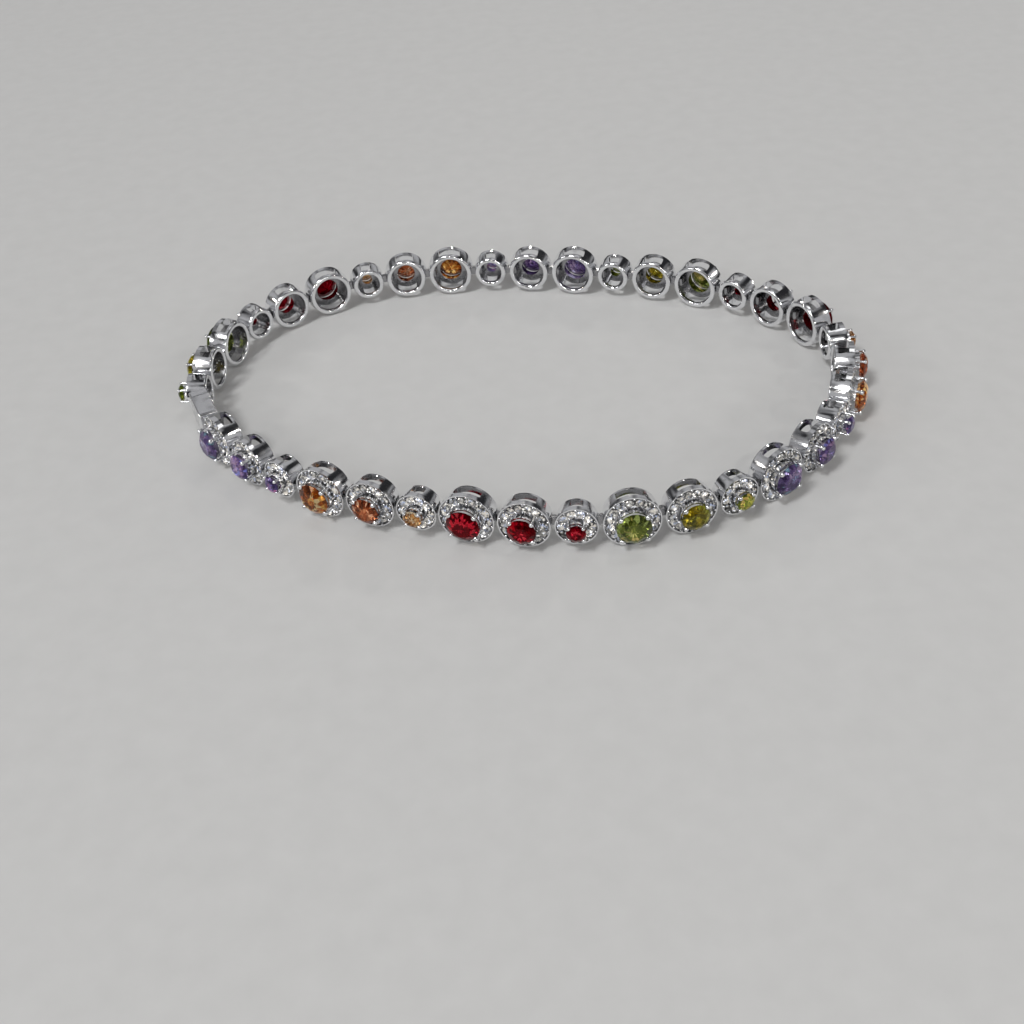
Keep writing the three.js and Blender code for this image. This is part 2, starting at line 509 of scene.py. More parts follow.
def painted_fire_group():
    """Painted fire of a cut stone: the mirrored wedges of the facets behind, seen through the crown, painted
    into its colour as a mosaic of dark and light cells, with painted flashes and a painted shadow towards
    the rim.
    """
    wedge_width = math.pi / 8
    cells_outwards = 7.0
    cells_at_middle = 1.4
    change_per_turn = 0.35
    mosaic_share = 0.65
    facet_share = 0.35
    group, given, result = new_group(
        "stone painted fire",
        [
            ("Across", "NodeSocketVector", None),
            ("Facet", "NodeSocketFloat", 0.5),
            ("Seed", "NodeSocketFloat", 0.0),
            ("Deep", "NodeSocketColor", (0.1, 0, 0, 1)),
            ("Body", "NodeSocketColor", (0.5, 0, 0, 1)),
            ("Painted warm flash", "NodeSocketColor", (1, 0.5, 0.5, 1)),
            ("Painted cool flash", "NodeSocketColor", (0.5, 0.5, 1, 1)),
        ],
        [("Colour", "NodeSocketColor"), ("Painted glint", "NodeSocketColor")],
    )

    def add(first, second):
        return math_node(group, "ADD", first, second)

    def times(first, second):
        return math_node(group, "MULTIPLY", first, second)

    parts = add_node(group, "ShaderNodeSeparateXYZ")
    feed(group, parts.inputs[0], given.outputs["Across"])
    across_x = math_node(group, "SUBTRACT", parts.outputs[0], 0.5)
    across_y = math_node(group, "SUBTRACT", parts.outputs[1], 0.5)
    angle = math_node(group, "ARCTAN2", across_y, across_x)
    squares = add(times(across_x, across_x), times(across_y, across_y))
    radius = math_node(group, "SQRT", squares)
    wedge = math_node(group, "PINGPONG", angle, wedge_width)
    turn = math_node(group, "FLOOR", times(angle, 1 / (2 * wedge_width)))

    outwards = times(radius, cells_outwards)
    cell = add_node(group, "ShaderNodeCombineXYZ")
    feed(group, cell.inputs[0], outwards)
    feed(group, cell.inputs[1], times(wedge, add(outwards, cells_at_middle)))
    feed(group, cell.inputs[2], add(given.outputs["Seed"], times(turn, change_per_turn)))
    mosaic = add_node(group, "ShaderNodeTexVoronoi")
    feed(group, mosaic.inputs["Scale"], 1.0)
    feed(group, mosaic.inputs["Vector"], cell.outputs[0])
    shades = add_node(group, "ShaderNodeSeparateColor")
    feed(group, shades.inputs[0], mosaic.outputs["Color"])
    tone_shade, cool_shade, glint_shade = shades.outputs

    # The painted reflection: each cell's tone, with the facet's own tone, picks between the deep and the
    # body colour.
    tone = add(times(tone_shade, mosaic_share), times(given.outputs["Facet"], facet_share))
    rim_shadow = range_node(group, radius, low=0.36, high=0.5, to_high=0.25)
    tone = math_node(group, "SUBTRACT", tone, rim_shadow)
    body_share = range_node(group, tone, low=0.15, high=0.5)
    body = mix_colours(group, body_share, given.outputs["Deep"], given.outputs["Body"])
    # Painted flashes of light in the brightest cells, and in a few cells of another shade.
    warm_share = range_node(group, tone, low=0.6, high=0.72)
    painted_warm = mix_colours(group, warm_share, body, given.outputs["Painted warm flash"])
    cool_share = range_node(group, cool_shade, low=0.86, high=0.9)
    painted_cool = mix_colours(group, cool_share, painted_warm, given.outputs["Painted cool flash"])
    # Painted glints in a few bright cells, which the material lets glow.
    glint_share = range_node(group, glint_shade, low=0.84, high=0.9)
    painted_glint = mix_colours(group, glint_share, (0, 0, 0, 1), painted_warm)
    feed(group, result.inputs["Colour"], painted_cool)
    feed(group, result.inputs["Painted glint"], painted_glint)
    return group


# Materials

POLISH = polish_group()
PAINTED_FIRE = painted_fire_group()

SCRATCH_DEPTH = 0.01 * MILLIMETRE
STONE_ROUGHNESS = 0.02
STONE_IOR = 1.77
STONE_GLOSS = 0.3


def new_material(name):
    """A material, its node tree and its Principled BSDF."""
    material = bpy.data.materials.new(name)
    material.use_nodes = True
    tree = material.node_tree
    return material, tree, tree.nodes["Principled BSDF"]


def metal(name, bright, shaded, smooth, rubbed, scratch):
    """Polished white metal with its own wear."""
    material, tree, surface = new_material(name)
    place = add_node(tree, "ShaderNodeTexCoord")
    worn = add_node(tree, "ShaderNodeGroup", node_tree=POLISH)
    feed(tree, worn.inputs["Position"], place.outputs["Object"])
    feed(tree, worn.inputs["Bright"], (*bright, 1))
    feed(tree, worn.inputs["Shaded"], (*shaded, 1))
    feed(tree, worn.inputs["Smooth"], smooth)
    feed(tree, worn.inputs["Rubbed"], rubbed)
    bump = add_node(tree, "ShaderNodeBump")
    feed(tree, bump.inputs["Strength"], scratch)
    feed(tree, bump.inputs["Distance"], SCRATCH_DEPTH)
    feed(tree, bump.inputs["Height"], worn.outputs["Height"])
    feed(tree, surface.inputs["Metallic"], 1.0)
    feed(tree, surface.inputs["Base Color"], worn.outputs["Colour"])
    feed(tree, surface.inputs["Roughness"], worn.outputs["Roughness"])
    feed(tree, surface.inputs["Normal"], bump.outputs[0])
    return material


def gem(name, deep, body, painted_warm, painted_cool, sheen, clearness, painted_glint_strength):
    """A cut stone, its colour painted with reflected facets, flashes and the tone of each facet, and painted
    glints that glow by emission.
    """
    material, tree, surface = new_material(name)
    across = add_node(tree, "ShaderNodeUVMap", uv_map="across")
    facet = add_node(tree, "ShaderNodeAttribute", attribute_name="facet_tone")
    seed = add_node(tree, "ShaderNodeAttribute", attribute_name="stone_seed")
    fire = add_node(tree, "ShaderNodeGroup", node_tree=PAINTED_FIRE)
    feed(tree, fire.inputs["Across"], across.outputs[0])
    feed(tree, fire.inputs["Facet"], facet.outputs["Fac"])
    feed(tree, fire.inputs["Seed"], seed.outputs["Fac"])
    feed(tree, fire.inputs["Deep"], (*deep, 1))
    feed(tree, fire.inputs["Body"], (*body, 1))
    feed(tree, fire.inputs["Painted warm flash"], (*painted_warm, 1))
    feed(tree, fire.inputs["Painted cool flash"], (*painted_cool, 1))
    feed(tree, surface.inputs["Roughness"], STONE_ROUGHNESS)
    feed(tree, surface.inputs["IOR"], STONE_IOR)
    feed(tree, surface.inputs["Specular IOR Level"], STONE_GLOSS)
    feed(tree, surface.inputs["Specular Tint"], (*sheen, 1))
    feed(tree, surface.inputs["Transmission Weight"], clearness)
    feed(tree, surface.inputs["Base Color"], fire.outputs["Colour"])
    # Painted glints: the brightest cells glow by emission, though the stone is no lamp.
    feed(tree, surface.inputs["Emission Color"], fire.outputs["Painted glint"])
    feed(tree, surface.inputs["Emission Strength"], painted_glint_strength)
    return material


SETTING_METAL = metal(
    "polished white metal",
    bright=(0.86, 0.865, 0.88), shaded=(0.62, 0.62, 0.64), smooth=0.06, rubbed=0.2, scratch=0.25,
)
# The channel's metal is a darker copy of the white metal: painted shade in the recess of the side stones.
CHANNEL_SHADE_METAL = metal(
    "channel metal painted shade",
    bright=(0.46, 0.46, 0.475), shaded=(0.22, 0.22, 0.23), smooth=0.15, rubbed=0.4, scratch=0.4,
)
# The metal inside the hollow and on the tongue between links is a still darker copy: painted shade.
INNER_SHADE_METAL = metal(
    "inner metal painted shade",
    bright=(0.34, 0.34, 0.35), shaded=(0.16, 0.16, 0.165), smooth=0.14, rubbed=0.35, scratch=0.4,
)
CLASP_METAL = metal(
    "brushed clasp metal",
    bright=(0.84, 0.845, 0.86), shaded=(0.6, 0.6, 0.62), smooth=0.1, rubbed=0.3, scratch=0.5,
)

# Deep tone, body tone, painted warm flash and painted cool flash of each main stone, as linear colours; deep
# and body make the painted reflection mosaic.
STONE_TONES = {
    ("purple", "large"): ((0.025, 0.014, 0.06), (0.17, 0.11, 0.29), (0.7, 0.52, 0.78), (0.28, 0.6, 0.68)),
    ("purple", "medium"): ((0.028, 0.014, 0.06), (0.18, 0.11, 0.29), (0.78, 0.52, 0.78), (0.3, 0.35, 1.0)),
    ("purple", "small"): ((0.025, 0.014, 0.08), (0.13, 0.09, 0.3), (0.5, 0.42, 0.75), (1.0, 0.3, 0.6)),
    ("orange", "large"): ((0.05, 0.007, 0.001), (0.5, 0.11, 0.012), (1.0, 0.6, 0.15), (1.0, 0.85, 0.45)),
    ("orange", "medium"): ((0.055, 0.009, 0.003), (0.42, 0.07, 0.017), (0.95, 0.36, 0.15), (1.0, 0.75, 0.5)),
    ("orange", "small"): ((0.08, 0.025, 0.004), (0.62, 0.26, 0.065), (1.0, 0.72, 0.35), (1.0, 0.92, 0.7)),
    ("red", "large"): ((0.04, 0.0, 0.001), (0.11, 0.0, 0.003), (0.2, 0.001, 0.005), (0.9, 0.03, 0.06)),
    ("red", "medium"): ((0.045, 0.0, 0.001), (0.14, 0.0, 0.004), (0.3, 0.002, 0.008), (1.0, 0.07, 0.1)),
    ("red", "small"): ((0.04, 0.0, 0.001), (0.13, 0.0, 0.003), (0.26, 0.001, 0.007), (0.9, 0.05, 0.08)),
    ("green", "large"): ((0.012, 0.018, 0.001), (0.16, 0.2, 0.025), (0.72, 0.56, 0.2), (0.5, 0.62, 0.18)),
    ("green", "medium"): ((0.02, 0.016, 0.0), (0.21, 0.155, 0.006), (0.8, 0.6, 0.055), (0.45, 0.5, 0.05)),
    ("green", "small"): ((0.022, 0.034, 0.0), (0.2, 0.27, 0.015), (0.82, 0.8, 0.13), (0.95, 0.65, 0.2)),
}
SHEENS = {
    "purple": (0.55, 0.48, 0.8),
    "orange": (0.9, 0.5, 0.28),
    "red": (0.35, 0.01, 0.02),
    "green": (0.6, 0.7, 0.3),
}
GEMS = {
    (colour, size): gem(
        f"{colour} stone {size}", *tones, sheen=SHEENS[colour], clearness=0.7, painted_glint_strength=0.3
    )
    for (colour, size), tones in STONE_TONES.items()
}
# The clear side stones take stronger painted glints.
CLEAR_STONE = gem(
    "clear side stone",
    deep=(0.012, 0.012, 0.013),
    body=(0.42, 0.42, 0.41),
    painted_warm=(1.0, 0.95, 0.87),
    painted_cool=(0.62, 0.72, 1.0),
    sheen=(1, 1, 1),
    clearness=0.3,
    painted_glint_strength=1.6,
)


# The setting of one link


def turned_body(size):
    """Halo plate with its rim and channel, the collar round the main stone, and the back ring."""
    body = add_cylinder(size.halo, WINDOW_HALF, FACE)
    bpy.ops.object.mode_set(mode="EDIT")
    pick_faces(body, lambda middle, normal: normal.z < -SQUARELY)
    draw_end(size.halo, WINDOW_HALF, [
        (size.halo - BACK_RING_SET_IN, BACK),
        (size.hollow, BACK),
        (size.hollow, WINDOW_HALF),
        (size.bore, WINDOW_HALF),
    ])
    pick_edges(body, lambda a, b: max(a.z, b.z) < BACK + NEAR and abs(a.xy.length - b.xy.length) < NEAR)
    bpy.ops.mesh.bevel(offset=BACK_ROUND, segments=ROUND_STEPS, affect="EDGES")
    pick_faces(body, lambda middle, normal: normal.z > SQUARELY and middle.z > WINDOW_HALF)
    collar_top = FACE + COLLAR_RISE
    draw_end(size.halo, FACE, [
        (size.rim_inside, FACE),
        (size.rim_inside - CHANNEL_TAPER, CHANNEL_FLOOR),
        (size.collar_foot, CHANNEL_FLOOR),
        (size.collar_outside, collar_top),
        (size.collar_outside - COLLAR_WALL, collar_top),
        (size.bore + SEAT_FLARE, FACE),
        (size.bore, WINDOW_HALF + SEAT_LAND),
    ])
    pick_faces(body, lambda middle, normal: middle.xy.length < NEAR and abs(normal.z) > SQUARELY)
    bpy.ops.mesh.bridge_edge_loops()
    bpy.ops.object.mode_set(mode="OBJECT")
    return body


def cut_windows(body, size):
    """The side windows, with rounded corners, through the wall above and below."""
    reach = size.halo + OVERSHOOT
    windows = add_block((-size.window, -reach, -WINDOW_HALF), (size.window, reach, WINDOW_HALF))
    bpy.ops.object.mode_set(mode="EDIT")
    pick_edges(windows, lambda a, b: abs(a.y - b.y) > NEAR)
    bpy.ops.mesh.bevel(offset=WINDOW_ROUND, segments=ROUND_STEPS, affect="EDGES")
    bpy.ops.object.mode_set(mode="OBJECT")
    combine(body, windows, "DIFFERENCE")


def add_hinge_halves(body, edge_x, pin_x, tongue_root, eye_x):
    """The slot that takes the neighbour's eye, and the tongue with an eye round its pin."""
    slot = add_block(
        (pin_x - SLOT_BEHIND_PIN, -SLOT_HALF, -WINDOW_HALF),
        (edge_x + SLOT_OVERSHOOT, SLOT_HALF, WINDOW_HALF),
    )
    combine(body, slot, "DIFFERENCE")
    half_height, half_thickness = TONGUE_HEIGHT / 2, TONGUE_THICKNESS / 2
    tongue = add_block(
        (eye_x, -half_height, -half_thickness), (tongue_root, half_height, half_thickness)
    )
    combine(tongue, add_cross_pin(EYE_RADIUS, TONGUE_HEIGHT, eye_x), "UNION")
    combine(tongue, add_cross_pin(EYE_HOLE, TONGUE_HEIGHT * 2, eye_x), "DIFFERENCE")
    combine(body, tongue, "UNION")


def hinge_pin(pin_x, finish):
    pin = dressed(add_cross_pin(PIN_RADIUS, PIN_LENGTH, pin_x), finish)
    smooth_shading(pin, CREASE)
    return pin


def prong(size):
    """A round prong wire that leans in over the girdle and ends in a ball, on the X axis."""
    centre = size.stone - PRONG_BITE + size.prong
    height = WIRE_START
    wire = add_cylinder(
        size.prong * WIRE_SHARE, CHANNEL_FLOOR - WIRE_ROOT, height, WIRE_SIDES, centre
    )
    bpy.ops.object.mode_set(mode="EDIT")
    pick_faces(wire, lambda middle, normal: normal.z > SQUARELY)
    for next_height, shift, ratio in WIRE_STEPS:
        step = (shift, 0, next_height - height)
        bpy.ops.mesh.extrude_region_move(TRANSFORM_OT_translate={"value": step})
        height = next_height
        centre += shift
        bpy.ops.transform.resize(value=(ratio, ratio, 1), center_override=(centre, 0, height))
    bpy.ops.object.mode_set(mode="OBJECT")
    place = (centre + BALL_SHIFT, 0, BALL_LEVEL)
    ball = add_ball(size.prong * BALL_SHARE, WIRE_SIDES, BALL_RINGS, place, BALL_SHAPE)
    made = joined([wire, ball])
    smooth_shading(made, PRONG_CREASE)
    return made


def grain():
    """A grain of metal raised over the edges of two side stones."""
    made = add_ball(GRAIN_RADIUS, GRAIN_SIDES, GRAIN_RINGS, (0, 0, 0), GRAIN_SHAPE)
    bpy.ops.object.shade_smooth()
    return made


# The order of a setting's three finishes: the polished metal outside, and the painted shade of the channel
# and of the inside.
OUTSIDE = 0
IN_CHANNEL_SHADE = 1
SHADED_WITHIN = 2


def finish_number(size, spot):
    """Which of the setting's finishes the face with its middle at this spot takes: painted shade in the
    channel, inside the hollow and on the tongue between links.
    """
    distance = spot.xy.length
    in_ring = size.collar_foot < distance < size.rim_inside + SLACK / 2
    if in_ring and CHANNEL_FLOOR - SLACK < spot.z < FACE - EDGE_ROUND:
        return IN_CHANNEL_SHADE
    # The hollow inside the back ring takes the painted shade of the inside.
    if distance < size.hollow + SLACK and BACK + BACK_ROUND / 2 < spot.z < WINDOW_HALF + SLACK:
        return SHADED_WITHIN
    # The tongue between the links, where shade falls, takes the same painted shade.
    if spot.x < -size.halo + 2 * SLACK and abs(spot.z) < EYE_RADIUS + SLACK:
        return SHADED_WITHIN
    return OUTSIDE


def make_setting(size):
    body = turned_body(size)
    cut_windows(body, size)
    add_hinge_halves(body, size.halo, size.pin_x, size.tongue_root, size.eye_x)
    soften_edges(body)
    dressed(body, SETTING_METAL, CHANNEL_SHADE_METAL, INNER_SHADE_METAL)
    for face in body.data.polygons:
        face.material_index = finish_number(size, face.center)
    parts = [body, hinge_pin(size.pin_x, SETTING_METAL)]

    first_prong = dressed(prong(size), SETTING_METAL)
    for corner in range(PRONGS):
        angle = math.pi / PRONGS + corner * 2 * math.pi / PRONGS
        parts.append(copied(first_prong, turned_about_z(angle)))
    bpy.data.objects.remove(first_prong)

    first_grain = dressed(grain(), SETTING_METAL)
    rings = (size.rim_inside - GRAIN_FROM_RIM, size.ring - size.side_stone * GRAIN_INNER_SHARE)
    for index in range(size.side_stones):
        angle = (index + 0.5) * 2 * math.pi / size.side_stones
        for ring in rings:
            spot = Matrix.Translation((ring, 0, GRAIN_LEVEL))
            parts.append(copied(first_grain, turned_about_z(angle) @ spot))
    bpy.data.objects.remove(first_grain)
    return joined(parts)


# Stones


def map_across(stone, width):
    """A map laid straight over the stone, this wide, with the stone's middle at its middle."""
    layer = stone.data.uv_layers.new(name="across")
    stone.data.uv_layers.active = layer
    for loop in stone.data.loops:
        spot = stone.data.vertices[loop.vertex_index].co
        layer.data[loop.index].uv = (0.5 + spot.x / width, 0.5 + spot.y / width)


def tone_facets(stone, draw):
    """Give each facet a tone and the stone a seed of its own."""
    tones = stone.data.attributes.new("facet_tone", "FLOAT", "FACE")
    seeds = stone.data.attributes.new("stone_seed", "FLOAT", "FACE")
    seed = draw.uniform(0, HIGHEST_SEED)
    for index in range(len(stone.data.polygons)):
        tones.data[index].value = draw.random()
        seeds.data[index].value = seed


def shift_map(stone, draw, reach):
    """Move the map a little off the stone's middle, so no two stones show the same painted fire."""
    step = (draw.uniform(-reach, reach), draw.uniform(-reach, reach))
    for corner in stone.data.uv_layers["across"].data:
        corner.uv = (corner.uv[0] + step[0], corner.uv[1] + step[1])


def cut_tier(count, first, distance, height, slope, side):
    """One tier of facets: planes through a point at this distance and height."""
    for index in range(count):
        angle = first + index * 2 * math.pi / count
        out = Vector((math.cos(angle), math.sin(angle), 0))
        point = out * distance + Vector((0, 0, height))
        normal = out * math.sin(slope) + Vector((0, 0, side * math.cos(slope)))
        bpy.ops.mesh.select_all(action="SELECT")
        bpy.ops.mesh.bisect(
            plane_co=point, plane_no=normal, use_fill=True, clear_outer=True, threshold=CUT_NEAR
        )


def make_main_stone(size):
    """A round brilliant: table, stars, bezels and girdle facets above, mains and halves below."""
    radius = size.stone
    top = CROWN_SHARE * radius
    bottom = -PAVILION_SHARE * radius
    table = TABLE_SHARE * radius
    girdle = GIRDLE_SHARE * radius
    between = math.pi / MAIN_FACETS
    halves = 2 * MAIN_FACETS
    bezel = math.atan2(top - girdle, radius - table)
    main = math.atan2(-bottom - girdle, radius)
    half_reach = radius * HALF_FACET_REACH
    half_level = girdle * HALF_FACET_LIFT
    star_reach = table * math.cos(between)

    stone = add_cylinder(radius, bottom - STOCK_BELOW, top)
    bpy.ops.object.mode_set(mode="EDIT")
    cut_tier(MAIN_FACETS, 0, radius, girdle, bezel, 1)
    cut_tier(halves, between / 2, half_reach, half_level, bezel + UPPER_HALF_STEEPER, 1)
    cut_tier(MAIN_FACETS, between, star_reach, top, bezel - STAR_FLATTER, 1)
    cut_tier(MAIN_FACETS, 0, radius, -girdle, main, -1)
    cut_tier(halves, between / 2, half_reach, -half_level, main + LOWER_HALF_STEEPER, -1)
    bpy.ops.mesh.select_all(action="SELECT")
    bpy.ops.mesh.remove_doubles(threshold=CORNER_NEAR)
    bpy.ops.mesh.select_all(action="SELECT")
    bpy.ops.mesh.dissolve_limited(angle_limit=SAME_FACET)
    bpy.ops.object.mode_set(mode="OBJECT")
    map_across(stone, 2 * radius)
    return stone


def side_stone(radius):
    """A small round stone with a table, eight crown facets and a pointed base, few faces."""
    half_side = math.pi / SIDE_STONE_SIDES
    stone = add_cylinder(
        radius, -SIDE_GIRDLE, SIDE_GIRDLE, SIDE_STONE_SIDES, first_angle=half_side
    )
    bpy.ops.object.mode_set(mode="EDIT")
    pick_faces(stone, lambda middle, normal: normal.z > SQUARELY)
    draw_end(radius, SIDE_GIRDLE, [(radius * SIDE_TABLE_SHARE, SIDE_CROWN)])
    pick_faces(stone, lambda middle, normal: normal.z < -SQUARELY)
    draw_end(radius, -SIDE_GIRDLE, [(radius * SIDE_POINT_SHARE, -SIDE_DEPTH)])
    bpy.ops.mesh.merge(type="CENTER")
    bpy.ops.object.mode_set(mode="OBJECT")
    map_across(stone, SIDE_MAP_RADII * radius)
    return stone


def make_side_stones(size, draw):
    """The ring of clear stones of one link, each a little askew, joined."""
    pattern = side_stone(size.side_stone)
    spot = Matrix.Translation((size.ring, 0, SIDE_LEVEL))
    stones = []
    for index in range(size.side_stones):
        tilt = Matrix.Rotation(draw.uniform(-SIDE_TILT, SIDE_TILT), 4, "X")
        tilt = tilt @ Matrix.Rotation(draw.uniform(-SIDE_TILT, SIDE_TILT), 4, "Y")
        own_turn = turned_about_z(draw.uniform(0, 1))
        place = turned_about_z(index * 2 * math.pi / size.side_stones) @ spot
        stone = copied(pattern, place @ tilt @ own_turn)
        tone_facets(stone, draw)
        shift_map(stone, draw, SIDE_MAP_SHIFT)
        stones.append(stone)
    bpy.data.objects.remove(pattern)
    return joined(stones)


# The clasp, hidden in the photograph: one plain closed box with a line where its halves meet


def cut_seam(box, half_height):
    """A shallow groove all round the box."""
    seam = add_block(
        (SEAM_PLACE, -half_height - OVERSHOOT, BACK - OVERSHOOT),
        (SEAM_PLACE + SEAM_WIDTH, half_height + OVERSHOOT, FACE + OVERSHOOT),
    )
    core = add_block(
        (SEAM_PLACE - OVERSHOOT, -half_height + SEAM_DEPTH, BACK + SEAM_DEPTH),
        (SEAM_PLACE + OVERSHOOT, half_height - SEAM_DEPTH, FACE - SEAM_DEPTH),
    )
    combine(seam, core, "DIFFERENCE")
    combine(box, seam, "DIFFERENCE")


def make_clasp():
    half_length, half_height = CLASP_LENGTH / 2, CLASP_HEIGHT / 2
    box = add_block((-half_length, -half_height, BACK), (half_length, half_height, FACE))
    bpy.ops.object.mode_set(mode="EDIT")
    pick_edges(box, lambda a, b: abs(a.z - b.z) > NEAR)
    bpy.ops.mesh.bevel(offset=CLASP_CORNER, segments=CORNER_STEPS, affect="EDGES")
    for level in (FACE, BACK):
        pick_edges(box, lambda a, b: abs(a.z - level) + abs(b.z - level) < NEAR)
        bpy.ops.mesh.bevel(offset=CLASP_EDGE, segments=ROUND_STEPS, affect="EDGES")
    bpy.ops.object.mode_set(mode="OBJECT")
    cut_seam(box, half_height)
    pin_x = half_length - HINGE_SET_IN
    tongue_root = -half_length + CLASP_TONGUE_ROOT
    add_hinge_halves(box, half_length, pin_x, tongue_root, -half_length - HALO_GAP - HINGE_SET_IN)
    soften_edges(box)
    dressed(box, CLASP_METAL)
    return joined([box, hinge_pin(pin_x, CLASP_METAL)])


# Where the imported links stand

# How level an upright face's normal lies, how closely two normals agree, and how close together
# the faces of one plane lie, in metres.
LEVEL = 0.001
SAME_AXIS = 0.9995
SAME_WAY = 0.9999
SAME_PLANE = 2e-6
MICROMETRE_DIGITS = 6


def largest_share(faces, key_of):
    """The key whose faces have the largest area in all."""
    shares = {}
    for face in faces:
        key = key_of(face)
        shares[key] = shares.get(key, 0) + face.area
    return max(shares, key=shares.get)


def outward_axis(upright, middle):
    """The way that the link looks: the axis of most of its upright faces, out of the loop."""
    bearing = math.radians(largest_share(
        upright,
        lambda face: round(math.degrees(math.atan2(face.normal.y, face.normal.x)) % 180) % 180,
    ))
    guess = Vector((math.cos(bearing), math.sin(bearing), 0))
    out = Vector((0, 0, 0))
    for face in upright:
        along = face.normal.dot(guess)
        if abs(along) > SAME_AXIS:
            out += face.normal * face.area * (1 if along > 0 else -1)
    out.normalize()
    return out if out.dot(middle) >= 0 else -out


def place_of(node):
    """From a link's own space, in millimetres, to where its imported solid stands, in metres."""
    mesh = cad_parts[node].data
    lowest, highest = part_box(node)
    upright = [face for face in mesh.polygons if abs(face.normal.z) < LEVEL]
    out = outward_axis(upright, (lowest + highest) / 2)
    up = Vector((0, 0, 1))
    along_chain = up.cross(out)

    outer = [face for face in upright if face.normal.dot(out) > SAME_WAY]
    face_level = largest_share(
        outer, lambda face: round(face.center.dot(out), MICROMETRE_DIGITS)
    )
    front = [face for face in outer if abs(face.center.dot(out) - face_level) < SAME_PLANE]
    corners = [mesh.vertices[index].co for face in front for index in face.vertices]
    reach = [corner.dot(along_chain) for corner in corners]
    heights = [corner.z for corner in corners]
    origin = (
        along_chain * (min(reach) + max(reach)) / 2
        + out * (face_level - FACE * MILLIMETRE)
        + up * (min(heights) + max(heights)) / 2
    )
    turn = Matrix((along_chain, up, out)).transposed().to_4x4()
    return Matrix.Translation(origin) @ turn @ Matrix.Scale(MILLIMETRE, 4)


def lay(pattern, name, place, slot, *nodes):
    """A copy of the pattern, laid in its place as a piece of the bracelet."""
    piece = copied(pattern, place)
    piece.name = name
    piece.data.name = name
    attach(piece, "root")
    if nodes:
        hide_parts(*nodes)
    return piece


def build_bracelet():
    draw = random.Random(DRAW_START)
    settings = {name: make_setting(size) for name, size in LINK_SIZES.items()}
    main_stones = {name: make_main_stone(size) for name, size in LINK_SIZES.items()}
    side_stones = {name: make_side_stones(size, draw) for name, size in LINK_SIZES.items()}
    clasp = make_clasp()
    for node in sorted(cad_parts):
        place = place_of(node)
        if node == "box_clasp":
            lay(clasp, "clasp_box", place, "white_metal", node)
            continue
        _, number, colour, size = node.split("_")
        lay(settings[size], f"setting_{number}", place, "white_metal", node)
        lifted = place @ Matrix.Translation((0, 0, GIRDLE)) @ turned_about_z(draw.uniform(0, math.pi))
        stone = lay(main_stones[size], f"main_stone_{number}_{colour}", lifted, f"{colour}_stone")
        tone_facets(stone, draw)
        shift_map(stone, draw, MAIN_MAP_SHIFT)
        dressed(stone, GEMS[colour, size])
        ring = lay(side_stones[size], f"side_stones_{number}", place, "clear_stone")
        dressed(ring, CLEAR_STONE)
    for pattern in (*settings.values(), *main_stones.values(), *side_stones.values(), clasp):
        bpy.data.objects.remove(pattern)


# Floor, light and camera, in metres

FLOOR_WIDTH = 3
FLOOR_DARK = (0.56, 0.56, 0.555, 1)
FLOOR_LIGHT = (0.62, 0.62, 0.615, 1)
FLOOR_ROUGHNESS = 0.7

ROOM_STRENGTH = 0.42
ROOM_DARK = (0.05, 0.05, 0.055, 1)
ROOM_LIGHT = (0.9, 0.9, 0.92, 1)
BACKDROP = (0.855, 0.855, 0.855, 1)

SKYLIGHT_DIRECTION = (-0.5, -0.55, 1.1)
SKYLIGHT_STRENGTH = 1.45
SKYLIGHT_WIDTH = math.radians(15)

# What every softbox aims at, and the name, place, width, height and power of each.
LIGHT_AIM = Vector((0, 0, 0.003))
WHITE = (1, 1, 1)
SOFTBOXES = [
    ("top softbox", (0.08, 0.1, 0.4), 0.13, 0.13, 0.06),
    ("left softbox", (-0.35, -0.15, 0.2), 0.12, 0.06, 0.16),
    ("front strip", (0.15, -0.4, 0.15), 0.25, 0.02, 0.22),
]

# Small lamps round the bracelet, which give the cut stones their glints.
LAMP_WIDTH = 0.012
LAMP_POWER = 0.09
LAMP_COLOUR = (1, 0.96, 0.9)
LAMP_SPOTS = [
    (0.3, -0.1, 0.25),
    (-0.22, -0.3, 0.3),
    (0.1, -0.33, 0.32),
    (-0.05, -0.4, 0.12),
    (0.38, 0.1, 0.14),
    (-0.38, 0.08, 0.2),
    (0.02, 0.38, 0.22),
]

# The camera of the photograph, as an azimuth, elevation and roll about the view.
CAMERA_AZIMUTH = math.radians(-1.54)
CAMERA_ELEVATION = math.radians(38)
CAMERA_ROLL = math.radians(-5.69)
CAMERA_DISTANCE = 117.5 * MILLIMETRE
CAMERA_AIM = Vector((-1.16, -22.11, 2.6)) * MILLIMETRE
FOCAL_PIXELS = 1330
IMAGE_PIXELS = 1024
SENSOR_WIDTH = 36
NEAREST_SEEN = 0.002
FARTHEST_SEEN = 20


def lay_floor():
    bpy.ops.object.select_all(action="DESELECT")
    bpy.ops.mesh.primitive_plane_add(size=FLOOR_WIDTH)
    floor = bpy.context.object
    floor.name = "floor"
    material, tree, surface = new_material("pale floor")
    place = add_node(tree, "ShaderNodeTexCoord")
    mottle = noise_node(tree, place.outputs["Object"], scale=400, detail=5)
    shade = mix_colours(tree, mottle, FLOOR_DARK, FLOOR_LIGHT)
    feed(tree, surface.inputs["Base Color"], shade)
    feed(tree, surface.inputs["Roughness"], FLOOR_ROUGHNESS)
    dressed(floor, material)


def add_lamp(name, light):
    lamp = bpy.data.objects.new(name, light)
    bpy.context.scene.collection.objects.link(lamp)
    return lamp


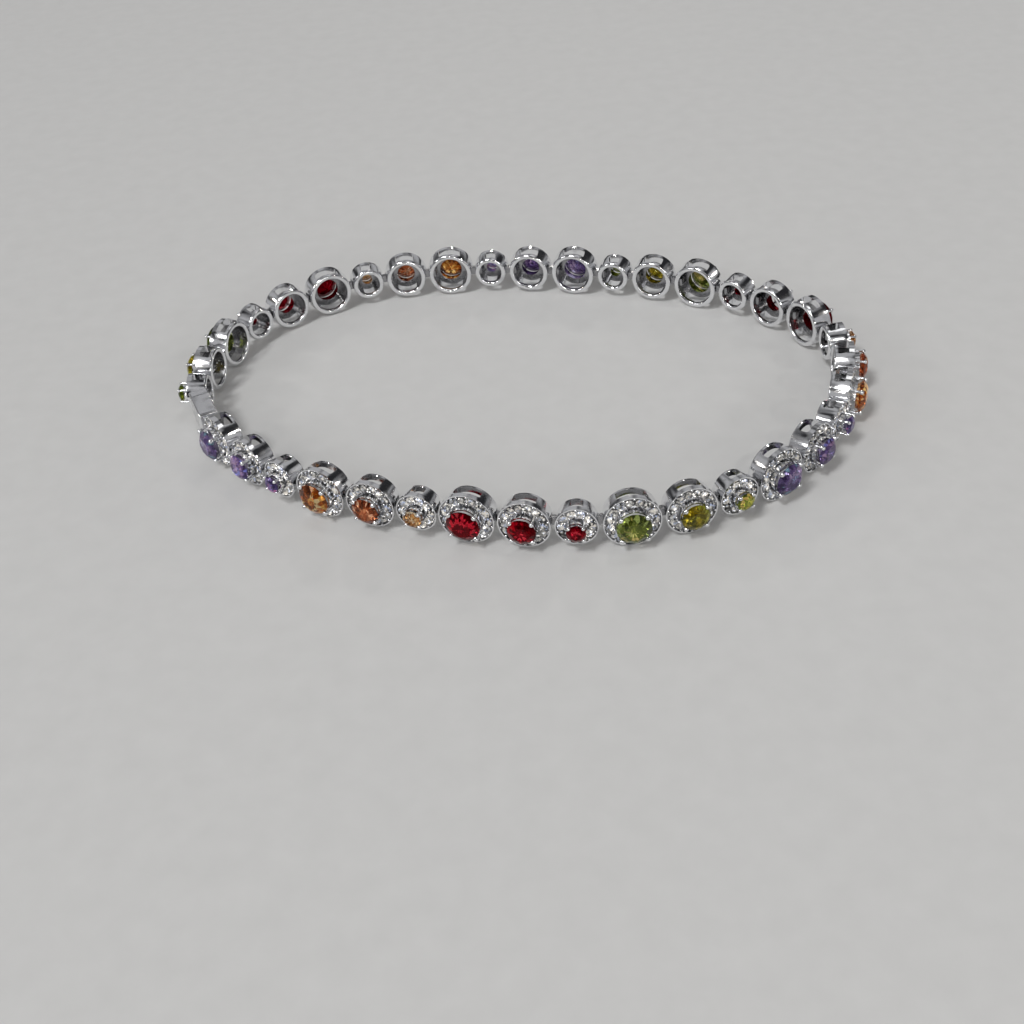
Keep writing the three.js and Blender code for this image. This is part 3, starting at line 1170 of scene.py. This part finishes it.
def add_softbox(name, spot, width, height, power, colour=WHITE):
    light = bpy.data.lights.new(name, "AREA")
    light.shape = "RECTANGLE"
    light.size = width
    light.size_y = height
    light.energy = power
    light.color = colour
    lamp = add_lamp(name, light)
    lamp.location = spot
    lamp.rotation_euler = (LIGHT_AIM - Vector(spot)).to_track_quat("-Z", "Y").to_euler()


def add_skylight():
    """One soft light from far off, which lights the whole floor evenly."""
    light = bpy.data.lights.new("skylight", "SUN")
    light.energy = SKYLIGHT_STRENGTH
    light.angle = SKYLIGHT_WIDTH
    lamp = add_lamp("skylight", light)
    lamp.rotation_euler = Vector(SKYLIGHT_DIRECTION).to_track_quat("Z", "Y").to_euler()


def light_room():
    """Pale and dark patches for the metal to mirror, behind a plain backdrop."""
    world = bpy.data.worlds.new("studio")
    bpy.context.scene.world = world
    world.use_nodes = True
    tree = world.node_tree
    place = add_node(tree, "ShaderNodeTexCoord")
    patches = noise_node(tree, place.outputs["Generated"], scale=2.2, detail=1)
    room = mix_colours(tree, range_node(tree, patches, low=0.42, high=0.6), ROOM_DARK, ROOM_LIGHT)
    ray = add_node(tree, "ShaderNodeLightPath")
    shown = mix_colours(tree, ray.outputs["Is Camera Ray"], room, BACKDROP)
    background = tree.nodes["Background"]
    feed(tree, background.inputs["Color"], shown)
    feed(tree, background.inputs["Strength"], ROOM_STRENGTH)


def light_scene():
    light_room()
    add_skylight()
    for softbox in SOFTBOXES:
        add_softbox(*softbox)
    for number, spot in enumerate(LAMP_SPOTS, start=1):
        add_softbox(f"lamp {number}", spot, LAMP_WIDTH, LAMP_WIDTH, LAMP_POWER, LAMP_COLOUR)


def aim_camera():
    camera = bpy.data.cameras.new("camera")
    camera.sensor_width = SENSOR_WIDTH
    camera.lens = FOCAL_PIXELS / IMAGE_PIXELS * SENSOR_WIDTH
    camera.clip_start = NEAREST_SEEN
    camera.clip_end = FARTHEST_SEEN
    view = bpy.data.objects.new("camera", camera)
    bpy.context.scene.collection.objects.link(view)
    forward = Vector((
        math.sin(CAMERA_AZIMUTH) * math.cos(CAMERA_ELEVATION),
        math.cos(CAMERA_AZIMUTH) * math.cos(CAMERA_ELEVATION),
        -math.sin(CAMERA_ELEVATION),
    ))
    level = Vector((math.cos(CAMERA_AZIMUTH), -math.sin(CAMERA_AZIMUTH), 0))
    upward = level.cross(forward)
    right = level * math.cos(CAMERA_ROLL) + upward * math.sin(CAMERA_ROLL)
    up = upward * math.cos(CAMERA_ROLL) - level * math.sin(CAMERA_ROLL)
    turn = Matrix((right, up, -forward)).transposed().to_4x4()
    view.matrix_world = Matrix.Translation(CAMERA_AIM - forward * CAMERA_DISTANCE) @ turn
    bpy.context.scene.camera = view


bpy.context.scene.view_settings.view_transform = "Standard"
aim_camera()
light_scene()
lay_floor()
build_bracelet()
